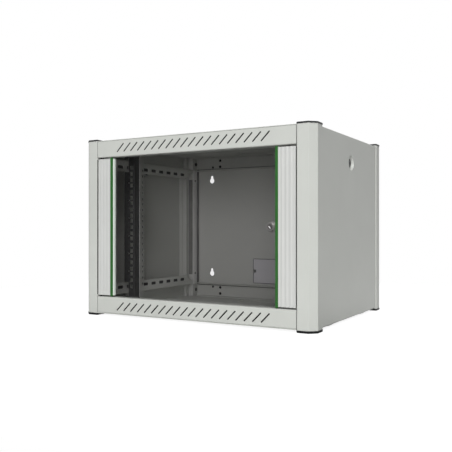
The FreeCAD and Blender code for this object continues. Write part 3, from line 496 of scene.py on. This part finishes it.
def side_plate():
    """Flat grid whose lines are the edges of the slots and notches, without the cells inside them."""
    starts = middle - rack_units * unit_height / 2 + unit_height * np.arange(rack_units)
    centres = (starts[:, None] + np.array(unit_holes)).reshape(-1)
    slots = (centres[:, None] + np.array([-tie_slot_half, tie_slot_half])).reshape(-1)
    notches = middle + np.array([-notch_high, -notch_low, notch_low, notch_high])
    ends = [rail_low[2] + plate_margin, rail_high[2] - plate_margin]
    z = np.sort(np.concatenate([ends, notches, slots]))
    y = np.array([plate_front, plate_step, tie_slot_front, tie_slot_rear, plate_rear])
    z_grid, y_grid = np.meshgrid(z, y, indexing="ij")
    points = np.stack([np.full_like(z_grid, leg_face), y_grid, z_grid], axis=-1)
    corner = np.arange(z.size * y.size).reshape(z.size, y.size)
    cells = np.stack([corner[:-1, :-1], corner[:-1, 1:], corner[1:, 1:], corner[1:, :-1]], axis=-1)
    z_cell = (z[:-1, None] + z[1:, None]) / 2
    y_cell = (y[None, :-1] + y[None, 1:]) / 2
    in_slot = (np.abs(z_cell - centres).min(axis=1, keepdims=True) < tie_slot_half) & (
        (y_cell > tie_slot_front) & (y_cell < tie_slot_rear))
    height = np.abs(z_cell - middle)
    in_notch = (height > notch_low) & (height < notch_high) & (y_cell < plate_step)
    return points, cells[~(in_slot | in_notch)]


for name, side in (("left", 1), ("right", -1)):
    points, cells = side_plate()
    plate_mesh = bpy.data.meshes.new(name + "_rail_side_plate")
    plate_mesh.from_pydata((points * (side, 1, 1)).reshape(-1, 3).tolist(), [], cells[:, ::side].tolist())
    plate_mesh.materials.append(body_coat)
    plate = bpy.data.objects.new(name + "_rail_side_plate", plate_mesh)
    bpy.context.scene.collection.objects.link(plate)
    gauge = plate.modifiers.new("gauge", "SOLIDIFY")
    gauge.thickness = plate_thickness
    gauge.offset = 1.0
    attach(plate, "cabinet")


def oval_along_z(x, y, half_x, half_y, low, high):
    """Straight cord or bead: an ellipse in x and y carried up z, its end sections drawn in a little."""
    angle = np.linspace(0, 2 * np.pi, 14, endpoint=False)
    inset = min(half_x, half_y) * 0.5
    heights = np.array([low, low + inset, high - inset, high])[:, None]
    swell = np.array([0.6, 1.0, 1.0, 0.6])[:, None]
    points = (x + half_x * swell * np.cos(angle), y + half_y * swell * np.sin(angle), heights)
    return closed_tube(np.stack(np.broadcast_arrays(*points), axis=-1))


# painted highlight along the rear edge of each rail's lip
for name, side in (("left", 1), ("right", -1)):
    guard = oval_along_z(side * lip_middle, lip_end, edge_highlight_half_x, edge_highlight_half_y,
                         rail_low[2] + edge_highlight_margin, rail_high[2] - edge_highlight_margin)
    add_piece(name + "_rail_edge_highlight", guard[None], "cabinet", highlight_liner_coat)


# Joint cords: painted shade
# A thin grey cord in the joint between each front post and the cross members, above and below the door,
# is painted shade in that joint.
joint_out, joint_front = 0.2595, -0.2243
joint_half_x, joint_half_y = 0.0006, 0.0005
for name, side in (("left", -1), ("right", 1)):
    joints = []
    for member in ("front_top_fascia", "front_bottom_fascia"):
        low_corner, high_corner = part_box(member)
        joints.append(oval_along_z(side * joint_out, joint_front, joint_half_x, joint_half_y,
                                   low_corner[2], high_corner[2]))
    add_piece(name + "_joint_shade_cord", np.stack(joints), "cabinet", painted_shade_grey)


# Door frame
# Two fluted profiles, coated like the cabinet but a little whiter, hold the glass. A green strip is clipped
# along the inner edge of each, a bead over its outer edge, and a pale seal lines the groove of the glass.
door_grey = (0.66, 0.668, 0.648)
trim_green = (0.036, 0.150, 0.034)
seal_pale = (0.74, 0.80, 0.74)
plug_grey = (0.32, 0.32, 0.32)
bead_out, bead_back = 0.0003, 0.0001                # its middle from the trim's outer edge and face
bead_half_x, bead_half_y = 0.0009, 0.0006
smooth = {"grain": 900.0, "cloud": 12.0}
door_coat = coated("door_coat", door_grey, 0.36, coat_grain, coat_cloud)
finish(door_coat, "door_hinge_profile", "door_lock_profile")
trim_plastic = coated("trim_plastic", trim_green, rough=0.35, unevenness=0.03, bump=0.00002, **smooth)
finish(trim_plastic, "hinge_side_trim", "lock_side_trim")
trim_low, trim_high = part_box("lock_side_trim")
for name, side in (("hinge_side", -1), ("lock_side", 1)):
    bead = oval_along_z(side * (trim_high[0] + bead_out), trim_low[1] + bead_back, bead_half_x, bead_half_y,
                        trim_low[2], trim_high[2])
    add_piece(name + "_trim_bead", bead[None], "door", trim_plastic)
seal_rubber = coated("seal_rubber", seal_pale, rough=0.55, bump=0.00003, **smooth)
finish(seal_rubber, "glass_gaskets")
plug_plastic = coated("plug_plastic", plug_grey, rough=0.5, **moulded)
finish(plug_plastic, "door_end_plugs")


# Door seals: painted highlight and shade
# Pale wedges from the glass forward along the inner wall of both profiles are a painted highlight on that
# wall, and black cords on the posts are painted shade in most of the gaps beside the door.
profile_inner, glass_face = 0.2128, -0.2162
wedge_depth, wedge_width = 0.0067, 0.0019
hinge_cord = (-0.2598, -0.2235, 0.0005, 0.0013)      # its middle in x and y, and half its width and depth
lock_cord = (0.2589, -0.2218, 0.0010, 0.0020)
wedge_margin, cord_margin = 0.0005, 0.001            # from the ends of the profiles
highlight_wedge_pale, shade_sponge_colour = (0.90, 0.97, 0.90), (0.008, 0.008, 0.008)
door_low, door_high = (corner[2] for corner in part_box("door_hinge_profile"))


def wedge_points(side):
    """Quarter of an ellipse from the profile's wall to the glass, closed along both, carried up z."""
    angle = np.linspace(0, np.pi / 2, 9)
    x = profile_inner - wedge_width * np.append(np.sin(angle), 0.0)
    y = glass_face - wedge_depth * np.append(np.cos(angle), 0.0)
    heights = np.array([door_low + wedge_margin, door_high - wedge_margin])[:, None]
    return closed_tube(np.stack(np.broadcast_arrays(side * x, y, heights), axis=-1))


# painted highlight on the profiles' inner walls, and painted shade in the gaps beside the door
highlight_wedge_rubber = coated("highlight_wedge_rubber", highlight_wedge_pale, rough=0.4, unevenness=0.015, bump=0.00002, **smooth)
shade_sponge_black = coated("shade_sponge_black", shade_sponge_colour, rough=0.9, unevenness=0.2, bump=0.0001, **foamed)
for name, side, cord in (("hinge_side", -1, hinge_cord), ("lock_side", 1, lock_cord)):
    add_piece(name + "_glass_highlight_wedge", wedge_points(side)[None], "door", highlight_wedge_rubber)
    sponge = oval_along_z(*cord, door_low + cord_margin, door_high - cord_margin)
    add_piece(name + "_gap_shade_cord", sponge[None], "cabinet", shade_sponge_black)


# Door glass
# Four millimetre toughened float glass with ground edges, tinted a light neutral grey. It stands in the
# grooves of the two profiles, where the seals hold it.
glass_tint = (0.905, 0.90, 0.905, 1)
glass_shadow_tint = (0.72, 0.71, 0.72, 1)            # what each face lets through of the lamps' light
glass_ior = 1.45
pane = bpy.data.materials.new("pane_glass")
pane.use_nodes = True
pane_nodes, pane_links = pane.node_tree.nodes, pane.node_tree.links
clear = pane_nodes["Principled BSDF"]
clear.inputs["Base Color"].default_value = glass_tint
clear.inputs["Roughness"].default_value = 0.0
clear.inputs["IOR"].default_value = glass_ior
clear.inputs["Transmission Weight"].default_value = 1.0
passing = pane_nodes.new("ShaderNodeBsdfTransparent")
passing.inputs["Color"].default_value = glass_shadow_tint
lets_light_through = pane_nodes.new("ShaderNodeMixShader")
kinds = pane_nodes.new("ShaderNodeLightPath")
mirrored_ray = pane_nodes.new("ShaderNodeMath")
mirrored_ray.operation = "SUBTRACT"
pane_links.new(kinds.outputs["Is Glossy Ray"], mirrored_ray.inputs[0])
pane_links.new(kinds.outputs["Is Transmission Ray"], mirrored_ray.inputs[1])
light_ray = pane_nodes.new("ShaderNodeMath")
light_ray.operation = "MAXIMUM"
pane_links.new(mirrored_ray.outputs[0], light_ray.inputs[0])
pane_links.new(any_of(pane_nodes, pane_links, "Is Shadow Ray", "Is Diffuse Ray"), light_ray.inputs[1])
pane_links.new(light_ray.outputs[0], lets_light_through.inputs[0])
pane_links.new(clear.outputs[0], lets_light_through.inputs[1])
pane_links.new(passing.outputs[0], lets_light_through.inputs[2])
pane_links.new(lets_light_through.outputs[0], pane_nodes["Material Output"].inputs["Surface"])
finish(pane, "door_glass")


# Locks and hinge pins
# Zinc castings and turned steel pins with bright nickel plate, satin on the door lock's body and black on the
# side locks. A white line beside the door lock's key slot is a painted highlight on the rim of the slot.
nickel_grey, black_nickel_grey = (0.72, 0.69, 0.66), (0.055, 0.055, 0.057)
satin_grey, core_grey = (0.62, 0.60, 0.59), (0.40, 0.385, 0.38)
highlight_white = (0.93, 0.93, 0.93)
plate_cloud = 160.0           # cells of the plate's unevenness per metre
plate_gloss_change = 0.06     # by which the cloud changes the roughness up and down
mark_half_length, mark_half_width, mark_half_height = 0.0038, 0.0009, 0.0004
mark_aside = 0.0013           # of the mark's middle line from the lock's axis
core_low, core_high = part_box("door_lock_core")


def plated(name, colour, rough, unevenness, metallic=1.0):
    """Metal plate with a soft cloud in its colour and gloss."""
    material = bpy.data.materials.new(name)
    material.use_nodes = True
    nodes, links = material.node_tree.nodes, material.node_tree.links
    surface = nodes["Principled BSDF"]
    surface.inputs["Metallic"].default_value = metallic
    place = nodes.new("ShaderNodeTexCoord").outputs["Object"]
    broad = noise(nodes, links, place, plate_cloud, cloud_detail)
    links.new(tint(nodes, links, colour, spread(nodes, links, broad, 1 - unevenness, 1)),
              surface.inputs["Base Color"])
    gloss = spread(nodes, links, broad, rough - plate_gloss_change, rough + plate_gloss_change)
    links.new(gloss, surface.inputs["Roughness"])
    return material


def mark_points():
    """Ellipse carried along the slanting line beside the key slot, its size as a circle over the distance."""
    axis_x, axis_z = (core_low[0] + core_high[0]) / 2, (core_low[2] + core_high[2]) / 2
    along = np.linspace(-0.98, 0.98, 13)[:, None]
    size = np.sqrt(1 - along ** 2)
    angle = np.linspace(0, 2 * np.pi, 14, endpoint=False)[None]
    across = mark_half_width * size * np.cos(angle) - mark_aside
    x = axis_x + slant * (mark_half_length * along + across)
    z = axis_z + slant * (across - mark_half_length * along)
    y = core_low[1] + mark_half_height * size * np.sin(angle)
    return closed_tube(np.stack([x, y, z], axis=-1))


nickel_plate = plated("nickel_plate", nickel_grey, rough=0.22, unevenness=0.08)
finish(nickel_plate, "door_lock_nut", "door_lock_cam", "door_cam_nut", "upper_hinge_pin", "lower_hinge_pin")
black_nickel = plated("black_nickel", black_nickel_grey, rough=0.25, unevenness=0.1)
for side in ("left", "right"):
    finish(nickel_plate, side + "_panel_lock_nut")
    finish(black_nickel, side + "_panel_lock_body", side + "_panel_lock_core")
finish(cap_plastic, "door_lock_washer", "hinge_bushes")
satin_nickel = plated("satin_nickel", satin_grey, rough=0.34, unevenness=0.08, metallic=0.78)
finish(satin_nickel, "door_lock_body")
core_nickel = plated("core_nickel", core_grey, rough=0.30, unevenness=0.08, metallic=0.8)
finish(core_nickel, "door_lock_core")
# painted highlight on the rim of the key slot
highlight_mark_finish = coated("highlight_mark_finish", highlight_white, rough=0.3, unevenness=0.01, bump=0.00001, **smooth)
add_piece("door_lock_slot_highlight", mark_points()[None], "door_lock", highlight_mark_finish)


# Fasteners
# Machine screws with domed heads and a cross recess, M6 through the rails and the cross members and M5
# elsewhere, and hexagon nuts with chamfered corners behind the rails. The frame's are coated dark, the rest
# are zinc plated.
zinc_grey, dark_grey = (0.62, 0.63, 0.63), (0.09, 0.09, 0.088)
zinc_plate = plated("zinc_plate", zinc_grey, rough=0.34, unevenness=0.15)
finish(zinc_plate, "left_panel_lock_cam", "right_panel_lock_cam")
dark_coat = coated("dark_coat", dark_grey, rough=0.4, **moulded)
m5 = {"shank": 0.00245, "head_radius": 0.0042, "head": 0.0017, "thread": 0.0008}
m6 = {"shank": 0.00295, "head_radius": 0.0052, "head": 0.0030, "thread": 0.0010}
head_wall = 0.45              # of the head's height, where the dome begins
arm_half, arm_reach, arm_depth = 0.13, 0.56, 0.6    # of the head's radius, its radius and its height
arm_wall, arm_end = 0.35, 0.1                       # of the arm's half width and the radius: where it rises
thread_depth, tip_size = 0.13, 0.55                 # of the shank's radius
rings_per_turn = 3
nut_across, nut_height, nut_bore = 0.010, 0.004, 0.0030
nut_chamfer, nut_slope = 1.03, 0.6                  # its radius over the flats' half width, and rise over run
rail_bolt_ys, frame_ys, bracket_ys = (-0.094, -0.065), (-0.212, 0.212), (-0.197, 0.197)


def screw_points(size, length):
    """Screw along z with the underside of its head at 0.

    Rings run from the middle of the head over its edge to the tip. The head is a low dome, lowered in a cross
    where the distance to an arm's middle line is less than the arm's half width. The shank's radius follows a
    triangle wave of height over pitch plus turn, which winds a thread round it.
    """
    turns = 40
    angle = np.linspace(0, 2 * np.pi, turns, endpoint=False)[None]
    part = np.array([0, 0.1, 0.2, 0.3, 0.42, 0.5, 0.6, 0.75, 0.9, 0.97, 1.0])[:, None]
    radius = part * size["head_radius"]
    dome = size["head"] * (head_wall + (1 - head_wall) * np.sqrt(1 - np.minimum(part, 0.97) ** 2))
    beside = np.minimum(np.abs(np.sin(angle)), np.abs(np.cos(angle))) * radius
    arm = size["head_radius"] * arm_half
    within = np.clip((arm - beside) / (arm * arm_wall) + 0.5, 0, 1)
    sunk = within * np.clip((arm_reach - part) / arm_end, 0, 1)
    top = dome - sunk * size["head"] * arm_depth
    rings = int(length / size["thread"] * rings_per_turn)
    down = np.linspace(0, -length, rings)[:, None]
    wave = np.abs((down / size["thread"] + angle / (2 * np.pi)) % 1 * 2 - 1)
    taper = np.clip((down + length) / size["thread"], tip_size, 1)
    shank = size["shank"] * taper * (1 - thread_depth * wave)
    radii = np.concatenate([np.broadcast_to(radius, top.shape), np.full((1, turns), size["head_radius"]),
                            shank, np.zeros((1, turns))])
    heights = np.concatenate([top, np.zeros((1, turns)), np.broadcast_to(down, shank.shape),
                              np.full((1, turns), -length)])
    return np.stack([radii * np.cos(angle), radii * np.sin(angle), heights], axis=-1)


def nut_points():
    """Hexagon nut on z, as rings that run up the bore, over the top, down the outside and back under it.

    At the top and bottom the outside's radius is the smaller of the hexagon's and the chamfer's.
    """
    angle = np.linspace(0, 2 * np.pi, 48, endpoint=False)[None]
    flat = nut_across / 2 / np.cos((angle + np.pi / 6) % (np.pi / 3) - np.pi / 6)
    chamfered = np.minimum(flat, nut_across / 2 * nut_chamfer)
    round_bore = np.full_like(angle, nut_bore)
    lift = (flat - chamfered) * nut_slope
    radii = np.concatenate([round_bore, round_bore, chamfered, flat, flat, chamfered, round_bore])
    level = np.zeros_like(angle)
    heights = np.concatenate([level, level + nut_height, level + nut_height, level + nut_height - lift,
                              level + lift, level, level])
    return np.stack([radii * np.cos(angle), radii * np.sin(angle), heights], axis=-1)


def stand_on(points, places, directions):
    """Copies of the points with their z axis along each direction and their origin at each place."""
    places, axis = np.array(places, float), np.array(directions, float)
    other = np.where(np.abs(axis[:, 2:]) > 0.5, (1.0, 0.0, 0.0), (0.0, 0.0, 1.0))
    first = np.cross(other, axis)
    second = np.cross(axis, first)
    turned = (points[None, ..., 0:1] * first[:, None, None] + points[None, ..., 1:2] * second[:, None, None]
              + points[None, ..., 2:3] * axis[:, None, None])
    return turned + places[:, None, None]


def add_fasteners(node, points, places, directions, material=zinc_plate):
    """Puts detailed fasteners in place of a CAD node of them."""
    copies = stand_on(points, places, directions)
    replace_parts(add_piece(node + "_detail", copies, "cabinet", material, crease=30.0), node)


def mirrored_places(x, ys, rise):
    """Places at both sides, at each depth and at the rise above and below the cabinet's middle."""
    return [(side * x, y, middle + up * rise) for side in (-1, 1) for y in ys for up in (-1, 1)]


def inward(places):
    """Directions across the cabinet, from each place to its middle."""
    return [(-np.sign(x), 0, 0) for x, y, z in places]


def to_middle(places):
    """Directions along the cabinet's depth, from each place to its middle."""
    return [(0, -np.sign(y), 0) for x, y, z in places]


rail_places = mirrored_places(x=0.258, ys=rail_bolt_ys, rise=bracket_rise)
add_fasteners("rail_bolts", screw_points(m6, length=0.009), rail_places, inward(rail_places))
nut_places = mirrored_places(x=0.266, ys=rail_bolt_ys, rise=bracket_rise)
add_fasteners("rail_nuts", nut_points(), nut_places, inward(nut_places))
frame_places = mirrored_places(x=0.2575, ys=frame_ys, rise=member_rise)
add_fasteners("frame_screws", screw_points(m6, length=0.010), frame_places, inward(frame_places),
              dark_coat)
bracket_places = mirrored_places(x=0.267, ys=bracket_ys, rise=0.164)
add_fasteners("bracket_screws", screw_points(m5, length=0.0075), bracket_places, to_middle(bracket_places))
level_places = mirrored_places(x=0.180, ys=frame_ys, rise=0.2067)       # in the roof and the floor
level_places += mirrored_places(x=0.080, ys=(0.160,), rise=0.2082)      # in their cable covers
back_places = [(-0.063, 0.2215, 0.0862), (0.063, 0.2215, 0.0862)]       # in the back cable cover
outward = [(0, 0, np.sign(z - middle)) for x, y, z in level_places]
add_fasteners("panel_screws", screw_points(m5, length=0.004), level_places + back_places,
              outward + to_middle(back_places))


# Dark plugs: painted shade in the holes
# Black plugs in the spare holes of the posts and of the rear members are painted shade in those holes. Each
# is a low dome on a stem that is pushed into the hole.
small_radius, large_radius, plug_height = 0.0032, 0.0040, 0.0012
post_rises = (0.1380, 0.1760, 0.1965)
rear_rises = (0.1780, 0.1960)
rear_ys = (0.2215,)


def plug_points(radius, height):
    """Low dome on a stem: rings whose height over their radius follows a quarter of a circle."""
    angle = np.linspace(0, 2 * np.pi, 20, endpoint=False)[None]
    part = np.array([0, 0.3, 0.6, 0.8, 0.93, 1.0, 1.0, 0.8, 0.8, 0.0])[:, None]
    lift = np.array([1.0, 0.97, 0.85, 0.66, 0.42, 0.15, 0.0, 0.0, -0.9, -0.9])[:, None]
    points = (radius * part * np.cos(angle), radius * part * np.sin(angle), height * lift)
    return np.stack(np.broadcast_arrays(*points), axis=-1)


post_places = [place for rise in post_rises for place in mirrored_places(x=0.260, ys=frame_ys, rise=rise)]
small_places = mirrored_places(x=0.203, ys=rear_ys, rise=0.1770)
large_places = [place for rise in rear_rises for place in mirrored_places(x=0.178, ys=rear_ys, rise=rise)]
small_plug, large_plug = plug_points(small_radius, plug_height), plug_points(large_radius, plug_height)
for name, points, places, facing in (("post_shade_plugs", small_plug, post_places, inward),
                                     ("small_member_shade_plugs", small_plug, small_places, to_middle),
                                     ("member_shade_plugs", large_plug, large_places, to_middle)):
    add_piece(name, stand_on(points, places, facing(places)), "cabinet", foot_plastic)


# Side panels
# Shallow folded trays of thinner steel in the same coat, each with a pressed dish for its lock. Two tabs at
# the foot of each stand in slots of the floor.
finish(body_coat, "left_side_panel", "right_side_panel")
